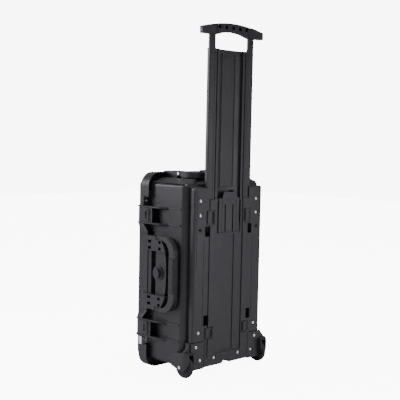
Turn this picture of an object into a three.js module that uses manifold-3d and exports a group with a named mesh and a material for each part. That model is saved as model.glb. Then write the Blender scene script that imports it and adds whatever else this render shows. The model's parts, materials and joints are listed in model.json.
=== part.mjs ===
// A rolling hard equipment case, standing on its wheels with its trolley handle pulled out.
// Millimetres, +Z up. +X is the latch and carry-handle side, -X the hinge side, +Y the trolley side and -Y
// the lid.
import * as THREE from "three";
import { mergeVertices } from "three/addons/utils/BufferGeometryUtils.js";
import Module from "manifold-3d";

const wasm = await Module();
wasm.setup();

// ---------------------------------------------------------------- driving dimensions
const RIM = { x: 163, z: 280, r: 38 }; // half width, half height and corner radius of the two rims
const WALL = { x: 148, z: 256, r: 14, t: 4.5 }; // the same for the shells' outside, and their thickness
const MID_Z = RIM.z; // height of the case's middle
const PART_Y = -72; // plane where lid and base meet
const LID_Y = -122; // outside of the lid
const BACK_Y = 82; // outside of the base's back
const GAP = 0.3; // air between two pieces that touch
const EDGE_R = 13; // rounding where the walls meet the back or the lid's face
const UPRIGHT_R = 18; // the base's two upright back corners are rounded more
const RIM_D = 17; // how far each rim's skirt reaches away from the parting plane
const SKIRT_T = 3.5;
const WIDE_X = 170; // half width of the rims beside the latches
const FIN = { x: 172, t: 4, half: 23 }; // fins that guard each latch: reach, thickness, half spacing
const LATCH_Z = 161; // latch centres, above and below the middle
const EAR = { z0: 189, z1: 211, x0: 152, x1: 170, t: 4.5, lid: 5, hole: 4.5, holeX: 161 }; // padlock ears
const PIVOT = { y: -5, out: 16.5, r: 2.5, boss: 7.5 }; // carry-handle pivots, out from the mount's foot
const PANEL = { x: 134, z0: 21, z1: 525, y0: BACK_Y + GAP, y1: 107, t: 3, r: 7 };
const CUT = { x: 80, z: 491 }; // opening at the panel's top for the hand and the slide
const SLIDE = { x: 87, y0: 84.5, y1: 101.5, face: 93, mid: 46, top: 905, low: 470, legIn: 58, legLow: 456 };
const WINDOW_X = 64; // half width of the hand opening under the trolley grip
const GRIP = { x: 120, z0: 942, zEnd: 960, zMid: 977, y0: 92, y1: 106, end: 112 }; // end: face of the ends
const TAB = { x: 42, z0: 397, z1: 493, y0: 97.5, y1: 104.5, pinZ: 447, pinY: 97.8 };
const LUG = { foot: 30, tip: 25, stem: 12, z1: 510, y0: 104, y1: 107.5 }; // finger lug on the release lever
const WHEEL = { y: 89.5, z: 32.5, r: 32.5, hub: 18, x0: 139, x1: 153 };
const CHEEK_X = 165; // outside of the wheel brackets
const PLATE = { x0: 88, z1: 96 }; // inner edge and top of a wheel bracket's back plate
const VALVE = { y: -10, r: 15.5, boss: 21, knob: 13 };
const RECESS = { x: 139, y0: -58, y1: -25, half: 20.5 }; // finger recess behind each latch lever
const HINGE = { x: -166.5, r: 6, pin: 2.5, z: 128, half: 46, lid: 24 }; // lid: half length of its knuckle
const PANEL_SCREWS = [[110.5, 488], [110.5, 448], [110.5, 122.5], [48.4, 44.4]];
const PLATE_SCREWS = [[118, 83], [102.4, 44.4]];
const PANEL_SLOTS = { x0: 75, x1: 93, spans: [[389, 417], [140, 169]] };

// ---------------------------------------------------------------- solids
function solid(geometry) {
  const bare = new THREE.BufferGeometry().setIndex(geometry.index);
  bare.setAttribute("position", geometry.getAttribute("position"));
  const merged = mergeVertices(bare, 1e-4);
  return new wasm.Manifold(new wasm.Mesh({
    numProp: 3,
    vertProperties: new Float32Array(merged.attributes.position.array),
    triVerts: new Uint32Array(merged.index.array),
  }));
}

const join = (...parts) => parts.reduce((a, b) => a.add(b));
const cut = (from, ...parts) => parts.reduce((a, b) => a.subtract(b), from);

function box(x0, x1, y0, y1, z0, z1) {
  const g = new THREE.BoxGeometry(x1 - x0, y1 - y0, z1 - z0);
  return solid(g.translate((x0 + x1) / 2, (y0 + y1) / 2, (z0 + z1) / 2));
}

// The same, from three spans whose ends may come in either order.
function boxIn(...spans) {
  const [x, y, z] = spans.map((span) => [...span].sort((a, b) => a - b));
  return box(...x, ...y, ...z);
}

const shapeOf = (points) => new THREE.Shape(points.map(([a, b]) => new THREE.Vector2(a, b)));

// A shape drawn in (x, z), run from y0 to y1. edge rounds the y1 end by that radius.
function alongY(shape, y0, y1, edge = 0, steps = 2) {
  const options = { depth: y1 - y0, bevelEnabled: false, curveSegments: 4 };
  if (edge > 0) {
    Object.assign(options, { depth: y1 - y0 + 40 - 2 * edge, bevelEnabled: true, bevelSegments: steps });
    Object.assign(options, { bevelThickness: edge, bevelSize: edge, bevelOffset: -edge });
  }
  const g = new THREE.ExtrudeGeometry(shape, options).rotateX(Math.PI / 2).translate(0, y1 - edge, 0);
  if (edge === 0) return solid(g);
  return cut(solid(g), box(-400, 400, y0 - 80, y0, -100, 1100));
}

// A shape drawn in (y, z), run from x0 to x1.
function alongX(shape, x0, x1) {
  const g = new THREE.ExtrudeGeometry(shape, { depth: x1 - x0, bevelEnabled: false, curveSegments: 5 });
  const turn = new THREE.Matrix4().makeBasis(
    new THREE.Vector3(0, 1, 0), new THREE.Vector3(0, 0, 1), new THREE.Vector3(1, 0, 0));
  return solid(g.applyMatrix4(turn).translate(x0, 0, 0));
}

// A shape drawn in (x, y), run from z0 to z1.
function alongZ(shape, z0, z1) {
  const g = new THREE.ExtrudeGeometry(shape, { depth: z1 - z0, bevelEnabled: false, curveSegments: 5 });
  return solid(g.translate(0, 0, z0));
}

function rod(axis, r, from, to, at, sides = 12) {
  const g = new THREE.CylinderGeometry(r, r, to - from, sides);
  const middle = (from + to) / 2;
  if (axis === "x") g.rotateZ(Math.PI / 2).translate(middle, at[0], at[1]);
  if (axis === "y") g.translate(at[0], middle, at[1]);
  if (axis === "z") g.rotateX(Math.PI / 2).translate(at[0], at[1], middle);
  return solid(g);
}

// A profile of [radius, distance] pairs turned about the x axis through (y, z).
function turnedX(profile, y, z, sides = 16) {
  const points = [...profile, profile[0]].map(([r, d]) => new THREE.Vector2(r, d));
  const g = new THREE.LatheGeometry(points, sides);
  return solid(g.rotateZ(-Math.PI / 2).translate(0, y, z));
}

function roundedRect(halfX, halfZ, r, midZ = MID_Z) {
  const s = new THREE.Shape();
  s.moveTo(halfX, midZ - halfZ + r);
  s.absarc(halfX - r, midZ + halfZ - r, r, 0, Math.PI / 2);
  s.absarc(-halfX + r, midZ + halfZ - r, r, Math.PI / 2, Math.PI);
  s.absarc(-halfX + r, midZ - halfZ + r, r, Math.PI, Math.PI * 1.5);
  s.absarc(halfX - r, midZ - halfZ + r, r, Math.PI * 1.5, Math.PI * 2);
  return s;
}

// The rim's outline: it widens beside each latch. inset draws it smaller all round.
function rimShape(inset) {
  const x = RIM.x - inset, wide = WIDE_X - inset, z = RIM.z - inset, r = RIM.r - inset;
  const steps = [[x, 112], [wide, 134], [wide, EAR.z0 - 1], [x, EAR.z0 + 1]];
  const s = new THREE.Shape();
  s.moveTo(x, MID_Z - z + r);
  steps.slice().reverse().forEach(([px, pz]) => s.lineTo(px, MID_Z - pz));
  steps.forEach(([px, pz]) => s.lineTo(px, MID_Z + pz));
  s.absarc(x - r, MID_Z + z - r, r, 0, Math.PI / 2);
  s.absarc(-x + r, MID_Z + z - r, r, Math.PI / 2, Math.PI);
  s.absarc(-x + r, MID_Z - z + r, r, Math.PI, Math.PI * 1.5);
  s.absarc(x - r, MID_Z - z + r, r, Math.PI * 1.5, Math.PI * 2);
  return s;
}

const both = (make) => [1, -1].map(make);

// ---------------------------------------------------------------- materials
const material = (color, roughness, metalness = 0) =>
  new THREE.MeshStandardMaterial({ color, roughness, metalness });
const resin = material(0x26262a, 0.55);
const nylon = material(0x2b2b2f, 0.5);
const rubber = material(0x1b1b1d, 0.85);
const steel = material(0xc9cacc, 0.3, 1);
const seal = material(0x151516, 0.9);

const root = new THREE.Group();
function put(name, body, look) {
  const m = body.getMesh();
  const g = new THREE.BufferGeometry();
  g.setAttribute("position", new THREE.BufferAttribute(new Float32Array(m.vertProperties), 3));
  g.setIndex(new THREE.BufferAttribute(new Uint32Array(m.triVerts), 1));
  g.computeVertexNormals();
  const mesh = new THREE.Mesh(g, look);
  mesh.name = name;
  root.add(mesh);
}

// ---------------------------------------------------------------- rims, shells
// One rim: a flat plate at the parting plane and a skirt that reaches back along the shell, ribs between.
// side is +1 for the base and -1 for the lid. Beside the latches and padlock ears the skirt is cut away.
function rim(side) {
  const y = (d) => PART_Y + side * d;
  const run = (shape, a, b) => alongY(shape, Math.min(y(a), y(b)), Math.max(y(a), y(b)));
  const face = GAP / 2, plate = side > 0 ? 4.5 : 6.5;
  let made = run(rimShape(0), face, RIM_D);
  made = cut(made, run(rimShape(SKIRT_T), plate, RIM_D + 1));
  const ribs = [];
  both((s) => [-224, -72, 72, 224].forEach((z) => ribs.push(ribAcross(s * 155, z))));
  both((s) => [-120, 120].forEach((x) => ribs.push(ribUp(x, s * 268))));
  function ribAcross(x, z) {
    return box(x - 7, x + 7, Math.min(y(1), y(RIM_D - 1)), Math.max(y(1), y(RIM_D - 1)),
      MID_Z + z - 1.5, MID_Z + z + 1.5);
  }
  function ribUp(x, z) {
    return box(x - 1.5, x + 1.5, Math.min(y(1), y(RIM_D - 1)), Math.max(y(1), y(RIM_D - 1)),
      MID_Z + z - 11, MID_Z + z + 11);
  }
  return cut(join(made, ...ribs), ...both((s) => (side > 0 ? baseSkirtGap(s) : lidSkirtGap(s))));
}

// The base's skirt slopes away towards each latch and stays away up to the far side of the padlock ear.
function baseSkirtGap(s) {
  const ear = PART_Y + EAR.t;
  const points = [[-40, 108], [-54, 112], [ear, 137], [ear, EAR.z1], [-40, EAR.z1]];
  return alongX(shapeOf(points.map(([y, z]) => [y, MID_Z + s * z])), 150, 180);
}

const lidSkirtGap = (s) => boxIn([EAR.x0 - 2, 180], [-100, PART_Y - EAR.lid],
  [MID_Z + s * (EAR.z0 - 1), MID_Z + s * EAR.z1]);

// The space between two fins, where a latch lies.
const latchPocket = (s, from, to) => box(from, to, -130, 20,
  MID_Z + s * LATCH_Z - FIN.half + FIN.t / 2, MID_Z + s * LATCH_Z + FIN.half - FIN.t / 2);

function fins(points) {
  return both((s) => both((t) => {
    const z = MID_Z + s * LATCH_Z + t * FIN.half;
    return alongZ(shapeOf(points), z - FIN.t / 2, z + FIN.t / 2);
  })).flat();
}

// A padlock ear with the thin flange beyond it, and the hole for the shackle.
const earZ = (s) => [MID_Z + s * EAR.z0, MID_Z + s * EAR.z1];
const earBlock = (s, x1, y0, y1) => join(boxIn([EAR.x0 - 6, x1], [y0, y1], earZ(s)),
  boxIn([EAR.x0, RIM.x + 4], [y0, y1], [MID_Z + s * (EAR.z1 - 0.1), MID_Z + s * (EAR.z1 + 2.2)]));
const earHole = (s) => rod("y", EAR.hole, -100, -50, [EAR.holeX, MID_Z + s * (EAR.z0 + EAR.z1) / 2], 12);

const hingeZ = (s) => MID_Z + s * HINGE.z;
const knuckle = (r, z0, z1) => rod("z", r, z0, z1, [HINGE.x, PART_Y], 12);
const lidSpan = (s, spare) => [hingeZ(s) - HINGE.lid - spare, hingeZ(s) + HINGE.lid + spare];
const baseSpans = (s, spare) => both((t) => {
  const a = hingeZ(s) + t * (HINGE.lid + 0.8 - spare), b = hingeZ(s) + t * (HINGE.half + spare);
  return [Math.min(a, b), Math.max(a, b)];
});

// ---------------------------------------------------------------- carry-handle mounts
// Drawn as on the top wall: x along the pivot, y across the case, z out from the mount's foot. inner and
// outer bound each ribbed bracket along x, and lift is how far the foot stands off the wall.
const HANDLES = {
  top: { inner: 50, outer: 84, sleeve: 45, lift: 6, blind: false },
  front: { inner: 62, outer: 94, sleeve: 48.5, lift: 0, blind: true },
};
const BRACKET_H = 22;
const ISLAND_H = 12; // height of the raised island under each handle
const FOOT = -10; // mounts start this deep, and the shell's inside cuts them off
const CORE = { y0: 46, y1: 61, z0: 7.5, z1: 19.5 }; // the frame's bar where the grip wraps it

function handleMount({ inner, outer, lift }) {
  const ear = outer + 10, earY = PIVOT.y - PIVOT.boss - 1;
  const outline = [[inner, PART_Y + 2], [ear, PART_Y + 2], [ear, earY], [outer, earY], [outer, 11],
    [outer - 12, 19], [inner + 3, 28], [inner, 28]];
  const brackets = both((s) => {
    let made = alongZ(shapeOf(outline.map(([x, y]) => [s * x, y])), FOOT, BRACKET_H);
    for (const [y, half] of [[-39, 6.5], [3.4, 5.2]]) for (const along of [8, 26]) {
      const px = s * (inner + along);
      made = cut(made, box(px - 4, px + 4, y - half, y + half, 6, BRACKET_H + 1));
    }
    return cut(made, rod("x", PIVOT.r + GAP, Math.min(s * (outer - 15), s * (outer + 1)),
      Math.max(s * (outer - 15), s * (outer + 1)), [PIVOT.y, PIVOT.out], 10));
  });
  const bulge = [[inner, -22], [outer, 0], [outer - 15, 9], [outer - 39, 18], [outer - 59, 21], [0, 22]];
  const island = shapeOf([...bulge, ...bulge.slice(0, -1).reverse().map(([x, y]) => [-x, y])]);
  return join(...brackets, alongZ(island, FOOT, ISLAND_H - lift));
}

// From that drawing to the top wall, and to the latch-side wall.
const onTop = (m) => m.translate([0, 0, MID_Z + WALL.z + HANDLES.top.lift]);
const onFront = (m) => m.rotate([0, 90, 0]).translate([WALL.x + HANDLES.front.lift, 0, MID_Z]);

function handleFrame({ outer, sleeve, blind }) {
  const far = outer + 11.5, near = outer + 1, r = 46;
  const s = new THREE.Shape();
  s.moveTo(-far, PIVOT.y);
  s.lineTo(-near, PIVOT.y);
  s.absarc(-near + r - 11, 43 - r + 11, r - 11, Math.PI, Math.PI / 2, true);
  s.absarc(near - r + 11, 43 - r + 11, r - 11, Math.PI / 2, 0, true);
  s.lineTo(near, PIVOT.y);
  s.lineTo(far, PIVOT.y);
  s.absarc(far - r, 64 - r, r, 0, Math.PI / 2);
  s.absarc(-far + r, 64 - r, r, Math.PI / 2, Math.PI);
  const half = sleeve + GAP;
  const core = box(-half - 1, half + 1, CORE.y0, CORE.y1, CORE.z0, CORE.z1);
  let made = cut(alongZ(s, 5, 22), cut(box(-half, half, 30, 80, 0, 30), core));
  both((t) => {
    const x = [t * near, t * far].sort((a, b) => a - b);
    made = join(made, rod("x", PIVOT.boss, x[0], x[1], [PIVOT.y, PIVOT.out], 14));
    made = cut(made, box(x[0] - 1, x[1] + 1, PIVOT.y - 20, PIVOT.y + 9, -1, PIVOT.out - PIVOT.boss));
    const hole = [t * (near - 1), t * (blind ? far - 1.6 : far + 1)].sort((a, b) => a - b);
    made = cut(made, rod("x", PIVOT.r + GAP, ...hole, [PIVOT.y, PIVOT.out], 10));
  });
  return made;
}

function handleSleeve({ sleeve }) {
  const s = new THREE.Shape();
  const y0 = 40.3, y1 = 66.7, z0 = 2.5, z1 = 24.5, r = 8;
  s.moveTo(y1, z0 + r);
  s.absarc(y1 - r, z1 - r, r, 0, Math.PI / 2);
  s.absarc(y0 + r, z1 - r, r, Math.PI / 2, Math.PI);
  s.absarc(y0 + r, z0 + r, r, Math.PI, Math.PI * 1.5);
  s.absarc(y1 - r, z0 + r, r, Math.PI * 1.5, Math.PI * 2);
  const { y0: a, y1: b, z0: c, z1: d } = CORE;
  return cut(alongX(s, -sleeve, sleeve), box(-sleeve - 1, sleeve + 1, a - GAP, b + GAP, c - GAP, d + GAP));
}

function handlePin({ outer, blind }, s) {
  const span = (a, b) => [Math.min(s * a, s * b), Math.max(s * a, s * b)];
  const at = [PIVOT.y, PIVOT.out];
  const shank = rod("x", PIVOT.r, ...span(outer - 14, outer + (blind ? 9.6 : 12.6)), at, 10);
  return blind ? shank : join(shank, rod("x", 4.2, ...span(outer + 12, outer + 14), at, 10));
}

// ---------------------------------------------------------------- base shell
// The corner recess that each wheel and its bracket fill, close round the bracket's cheek; spare makes it
// larger.
function wheelWell(s, spare) {
  const front = 53.4 - spare, top = 72 + spare;
  const outline = [[front, -10], [front, 34], [front + 1.5, 56], [front + 4.5, 65.5],
    [front + 11, top - 1.6], [front + 18, top], [BACK_Y - 2, top + 1.5], [140, top + 1.5], [140, -10]];
  return alongX(shapeOf(outline), ...[s * (133.7 - spare), s * 200].sort((a, b) => a - b));
}

// The base's tub, drawn inset by that much: a rounded outline, far edges rounded, upright corners more so.
function tub(inset, y0) {
  const x = WALL.x - inset, y1 = BACK_Y - inset, r = UPRIGHT_R - inset;
  const plan = new THREE.Shape();
  plan.moveTo(-x, y0);
  plan.lineTo(x, y0);
  plan.absarc(x - r, y1 - r, r, 0, Math.PI / 2);
  plan.absarc(-x + r, y1 - r, r, Math.PI / 2, Math.PI);
  const block = alongY(roundedRect(x, WALL.z - inset, WALL.r - inset), y0, y1, EDGE_R - inset);
  return block.intersect(alongZ(plan, 0, RIM.z * 2));
}

// A raised band along the rim between the front handle's brackets, and the ring round the valve.
function frontDetails() {
  return join(box(WALL.x - 2, 161, PART_Y + 2, -40, MID_Z - 63, MID_Z + 63),
    rod("x", VALVE.boss, 150, 163, [VALVE.y, MID_Z], 20));
}

// The finger recess behind a latch lever; spare makes it larger on every side but the open one.
const recess = (s, spare) => boxIn([RECESS.x - spare, 200], [RECESS.y0 - spare, RECESS.y1 + spare],
  [MID_Z + s * LATCH_Z - RECESS.half - spare, MID_Z + s * LATCH_Z + RECESS.half + spare]);

// Fins beside the latches, each running on as a low rib to the back corner.
const BASE_FIN = [[146, PART_Y + 1], [146, 64], [149.3, 60], [149.3, 17], [164, -1], [167.5, -8], [170, -42],
  [FIN.x, -60], [FIN.x, PART_Y + GAP / 2]];

function baseShell() {
  let outside = join(tub(0, PART_Y + GAP / 2), onTop(handleMount(HANDLES.top)),
    onFront(handleMount(HANDLES.front)), frontDetails());
  outside = cut(outside, ...both((s) => recess(s, 0)));
  const mouth = boxIn([1 - WALL.x, WALL.x - 1], [-80, -50], [MID_Z - WALL.z + 1, MID_Z + WALL.z - 1]);
  outside = join(outside, cut(rim(1), mouth));
  outside = cut(outside, ...both((s) => latchPocket(s, 156, 200)));
  outside = join(outside, ...fins(BASE_FIN),
    ...both((s) => earBlock(s, EAR.x1, PART_Y + GAP / 2, PART_Y + EAR.t)));
  both((s) => baseSpans(s, 0).forEach(([a, b]) => {
    const web = box(HINGE.x, -158, PART_Y + 0.5, PART_Y + HINGE.r, a, b);
    outside = join(outside, knuckle(HINGE.r, a, b), web);
  }));
  outside = cut(outside, ...both((s) => knuckle(HINGE.r + 0.8, ...lidSpan(s, 0.8))),
    ...both((s) => knuckle(HINGE.pin + GAP, hingeZ(s) - HINGE.half - 1, hingeZ(s) + HINGE.half + 1)),
    ...both(earHole), ...both((s) => wheelWell(s, 0)));
  const inside = cut(tub(WALL.t, PART_Y - 5), ...both((s) => wheelWell(s, WALL.t)),
    ...both((s) => recess(s, WALL.t)));
  const screwHoles = [...PANEL_SCREWS, ...PLATE_SCREWS].flatMap(([x, z]) =>
    both((s) => rod("y", 2.3, BACK_Y - 8, BACK_Y + 2, [s * x, z], 8)));
  return cut(outside, inside, rod("x", VALVE.r - 5 + GAP, 130, 170, [VALVE.y, MID_Z], 16),
    rod("x", VALVE.r + GAP, 158, 170, [VALVE.y, MID_Z], 16), ...screwHoles);
}

// ---------------------------------------------------------------- lid
const SEAL = { in: 5, out: 9, depth: 3.6 }; // seal groove, out from the shell's outer wall

function sealRing(inner, outer, y0, y1) {
  const ring = (d) => roundedRect(WALL.x - 1 + d, WALL.z - 1 + d, WALL.r + d);
  return cut(alongY(ring(outer), y0, y1), alongY(ring(inner), y0 - 1, y1 + 1));
}

function lidShell() {
  // The face is built from the parting plane and then mirrored in it, because alongY rounds its far end.
  const flip = (m) => m.mirror([0, 1, 0]).translate([0, 2 * PART_Y, 0]);
  const depth = PART_Y - LID_Y;
  const faceY = PART_Y + depth - 2.5;
  let outside = alongY(roundedRect(WALL.x, WALL.z, WALL.r), PART_Y + GAP / 2, faceY, EDGE_R);
  for (const x of [-84, -28, 28, 84]) {
    outside = join(outside, box(x - 12, x + 12, faceY - 2, PART_Y + depth, MID_Z - 205, MID_Z + 205));
  }
  outside = join(flip(outside), rim(-1));
  outside = cut(outside, ...both((s) => latchPocket(s, 156, 200)));
  const fin = [[146, PART_Y - 1], [146, -84], [160, -93], [FIN.x - 3, -93], [FIN.x, -90],
    [FIN.x, PART_Y - GAP / 2]];
  outside = join(outside, ...fins(fin.reverse()),
    ...both((s) => earBlock(s, RIM.x, PART_Y - EAR.lid, PART_Y - GAP / 2)));
  both((s) => {
    const [a, b] = lidSpan(s, 0);
    const web = box(HINGE.x, -158, PART_Y - HINGE.r, PART_Y - 0.5, a, b);
    outside = join(outside, knuckle(HINGE.r, a, b), web);
    baseSpans(s, 0.8).forEach((span) => {
      outside = cut(outside, knuckle(HINGE.r + 0.8, ...span));
    });
  });
  const pinHole = (s) => knuckle(HINGE.pin + GAP, hingeZ(s) - HINGE.half, hingeZ(s) + HINGE.half);
  outside = cut(outside, ...both(pinHole), ...both(earHole),
    sealRing(SEAL.in, SEAL.out, PART_Y - SEAL.depth, PART_Y + 1),
    ...both((s) => rod("z", 2.3, MID_Z + s * LATCH_Z - 30, MID_Z + s * LATCH_Z + 30, LATCH_PIN, 10)));
  const inside = flip(alongY(roundedRect(WALL.x - WALL.t, WALL.z - WALL.t, WALL.r - WALL.t), PART_Y - 5,
    faceY - WALL.t, EDGE_R - WALL.t));
  return cut(outside, inside);
}

// ---------------------------------------------------------------- latches
const LATCH_PIN = [165, -85];
const LEVER_PIN = [167, -53];
const LATCH_HALF = 20;

function latchPlate(z) {
  const outline = [[161, -80], [165, -90], [169, -89.5], [171.5, -86], [171.5, -58], [162.5, -58],
    [162.5, -61], [166, -62], [166, -80]];
  let made = alongZ(shapeOf(outline), z - LATCH_HALF, z + LATCH_HALF);
  made = join(made, rod("z", 4.5, z - LATCH_HALF, z + LATCH_HALF, LATCH_PIN, 12));
  both((t) => {
    const span = [z + t * 9, z + t * LATCH_HALF].sort((a, b) => a - b);
    made = join(made, box(163, 171, -59, LEVER_PIN[1], ...span), rod("z", 3.9, ...span, LEVER_PIN, 12));
  });
  const holes = [rod("z", 2.3, z - 40, z + 40, LATCH_PIN, 10), rod("z", 1.9, z - 40, z + 40, LEVER_PIN, 10)];
  return cut(made, ...holes);
}

function latchLever(z) {
  const outline = [[164.2, -54], [170.5, -55.5], [171.4, -52.5], [170.3, -51.2], [171.9, -49],
    [171.9, -45.5], [170.8, -44], [169.5, -31], [166, -31], [166.3, -44], [160, -44.5], [160, -48.5],
    [164.2, -49]];
  let made = alongZ(shapeOf(outline), z - LATCH_HALF, z + LATCH_HALF);
  both((t) => {
    const span = [z + t * 8.4, z + t * (LATCH_HALF + 1)].sort((a, b) => a - b);
    made = cut(made, box(158, 175, -60, -48.7, span[0], span[1]));
  });
  return cut(made, rod("z", 1.9, z - 40, z + 40, LEVER_PIN, 10));
}

// ---------------------------------------------------------------- trolley
// The panel's face in steps across x: [half width, outer face y].
const STEPS = [[PANEL.x, 105.2], [76, PANEL.y1], [54.5, 104.8], [21.7, 103]];

function trolleyPanel() {
  const rect = (x, z0, z1) => shapeOf([[-x, z0], [x, z0], [x, z1], [-x, z1]]);
  const rounded = roundedRect(PANEL.x, (PANEL.z1 - PANEL.z0) / 2, PANEL.r, (PANEL.z1 + PANEL.z0) / 2);
  let made = alongY(rounded, PANEL.y0, STEPS[0][1], 4, 1);
  made = join(made, alongY(rect(STEPS[1][0], PANEL.z0 + 26, CUT.z), 100, STEPS[1][1]));
  made = cut(made, alongY(rect(STEPS[2][0], PANEL.z0 + 34, CUT.z + 1), STEPS[2][1], 120));
  made = cut(made, alongY(rect(STEPS[3][0], PANEL.z0 + 39, TAB.z0 - 5), STEPS[3][1], 120));
  // Hollow: a wide channel for the slide, shallower in the middle, and two side bays.
  const mid = SLIDE.mid - 0.6;
  made = cut(made, ...both((s) => boxIn([s * mid, s * 94], [70, SLIDE.y1 + 0.7], [31, 600])),
    box(-mid, mid, 70, 99.5, 31, 600));
  made = join(made, box(-56, 56, PANEL.y0, 103, 28, 52));
  made = cut(made, ...both((s) => boxIn([s * 97, s * (PANEL.x - PANEL.t)], [70, STEPS[0][1] - PANEL.t],
    [PANEL.z0 + 3, PANEL.z1 - 3])));
  const boss = ([x, z]) => both((s) => rod("y", 5.5, PANEL.y0, 103, [s * x, z], 12));
  const cheeks = both((s) => boxIn([s * 41, s * mid], [94.3, 101], [TAB.pinZ - 8, TAB.pinZ + 8]));
  made = join(made, ...PANEL_SCREWS.slice(0, 3).flatMap(boss), ...cheeks);
  const wheelCorner = both((s) => boxIn([s * PLATE.x0, s * 200], [70, 120], [0, PLATE.z1 + GAP]));
  made = cut(made, ...wheelCorner, alongY(rect(CUT.x, CUT.z, 600), 70, 120),
    box(-TAB.x - 1.8, TAB.x + 1.8, 90, 120, TAB.z0 - 0.8, TAB.z1 + 4),
    alongY(shapeOf([[-22, 10], [22, 10], [12, 29], [-12, 29]]), 70, 120),
    rod("x", 1.9, -50, 50, [TAB.pinY, TAB.pinZ], 8));
  const holes = PANEL_SCREWS.flatMap(([x, z]) => both((s) => join(rod("y", 2.3, 70, 120, [s * x, z], 8),
    rod("y", 7, 103.4, 120, [s * x, z], 12))));
  const pockets = both((s) => [[421, 460], [102, 133]].map((z) => boxIn([s * 60, s * 88], [105.4, 120], z)));
  const spareHoles = both((s) => rod("y", 3.4, 95, 120, [s * 112, 408], 10));
  return cut(made, ...holes, ...pockets.flat(), ...panelSlots(95), ...spareHoles);
}

// The see-through slots in the panel, and the notches behind them in the guides, from depth y.
const panelSlots = (y) => both((s) => PANEL_SLOTS.spans.map(([a, b]) =>
  boxIn([s * PANEL_SLOTS.x0, s * PANEL_SLOTS.x1], [y, 120], [a, b]))).flat();

// The liner beside the slide's leg, notched behind the panel's slots.
function trolleyGuide() {
  const liner = box(SLIDE.x + 1, 93.5, PANEL.y0 + GAP, SLIDE.y1, PLATE.z1 + 2, 522);
  const notches = PANEL_SLOTS.spans.map(([a, b]) => box(80, 100, SLIDE.y0 + 2, 120, a - 1, b + 1));
  return cut(liner, ...notches);
}

function slidePlate() {
  const { x, y0, y1, face, mid, top, low, legIn, legLow } = SLIDE;
  const thin = y1 - 5; // the legs beside the hand opening are 5 mm thick
  let made = box(-x, x, face - 5, y1, low, top);
  both((s) => {
    const fillet = new THREE.Shape();
    fillet.moveTo(s * (WINDOW_X + 1), top - 1);
    fillet.lineTo(s * (WINDOW_X - 6), top - 1);
    fillet.quadraticCurveTo(s * WINDOW_X, top, s * WINDOW_X, top + 7);
    fillet.lineTo(s * (WINDOW_X + 1), top + 7);
    made = join(made, boxIn([s * legIn, s * x], [y0, y1], [legLow, top]), alongY(fillet, thin, y1),
      boxIn([s * WINDOW_X, s * x], [thin, y1], [top - 1, GRIP.z0 + 12]));
  });
  const groove = both((s) => boxIn([s * 54, s * 58], [y1 - 2.5, y1 + 1], [400, top + 1]));
  const channels = both((s) => boxIn([s * (mid + 4), s * (x - 4)], [70, y1 - 3.5], [low, top - 5]));
  const sides = both((s) => boxIn([s * (x - 7), s * (x + 1)], [70, face], [low - 20, top + 100]));
  return cut(made, box(-mid, mid, face, y1 + 1, 400, top + 1), ...groove, ...channels, ...sides,
    box(-27, 27, 70, 110, 495, 514));
}

function trolleyGrip() {
  // Outline in (x, z): a straight underside outside the legs and an arch over the hand opening.
  const { x, z0, zEnd, zMid, y0, y1, end } = GRIP;
  const s = new THREE.Shape();
  s.moveTo(x, z0 + 3);
  s.lineTo(x, zEnd - 4);
  s.quadraticCurveTo(x, zEnd, x - 5, zEnd + 1.5);
  s.quadraticCurveTo(x * 0.45, zMid, 0, zMid);
  s.quadraticCurveTo(-x * 0.45, zMid, -x + 5, zEnd + 1.5);
  s.quadraticCurveTo(-x, zEnd, -x, zEnd - 4);
  s.lineTo(-x, z0 + 3);
  s.lineTo(-x + 3, z0);
  s.lineTo(-WINDOW_X, z0);
  s.quadraticCurveTo(0, z0 + 22, WINDOW_X, z0);
  s.lineTo(x - 3, z0);
  // Seen from above: slimmer in the middle, thicker towards both rounded ends.
  const plan = shapeOf([[-x, y0 + 4], [-x + 5, y0], [x - 5, y0], [x, y0 + 4], [x, end - 5], [x - 5, end],
    [76, end], [62, y1], [-62, y1], [-76, end], [-x + 5, end], [-x, end - 5]]);
  let made = alongY(s, y0 - 5, end + 5).intersect(alongZ(plan, z0 - 5, zMid + 5));
  const sockets = both((t) => boxIn([t * (WINDOW_X - GAP), t * (SLIDE.x + GAP)],
    [SLIDE.y1 - 5 - GAP, SLIDE.y1 + GAP], [z0 - 5, z0 + 12 + GAP]));
  made = cut(made, ...sockets);
  for (const px of [-53, -26.5, 0, 26.5, 53]) {
    made = cut(made, box(px - 4, px + 4, y1 - 4, y1 + 2, 960.5, 968.5));
  }
  return made;
}

function releaseLever() {
  const { x, z0, z1, y0, y1, pinZ, pinY } = TAB;
  const outline = [[-LUG.foot, z1 - 1], [LUG.foot, z1 - 1], [LUG.tip, LUG.z1], [-LUG.tip, LUG.z1]];
  const lug = join(alongY(shapeOf(outline), LUG.y0, LUG.y1),
    box(-LUG.stem, LUG.stem, 96, LUG.y0 + 1, z1 - 1, LUG.z1));
  let made = join(box(-x, x, y0, y1, z0, z1), lug, box(-x + 3.4, x - 3.4, 94.3, y0 + 1, pinZ - 7, pinZ + 7));
  made = cut(made, ...both((s) => box(s * 15 - 1.6, s * 15 + 1.6, y1 - 2, y1 + 1, z0 - 1, 473)),
    box(-7, 7, 90, 100.9, pinZ - 4, pinZ + 4),
    ...both((s) => boxIn([s * (x - 1), s * (x + 1)], [90, 101.5], [pinZ - 8.5, pinZ + 8.5])));
  return cut(made, rod("x", 1.9, -60, 60, [pinY, pinZ], 8));
}

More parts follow.
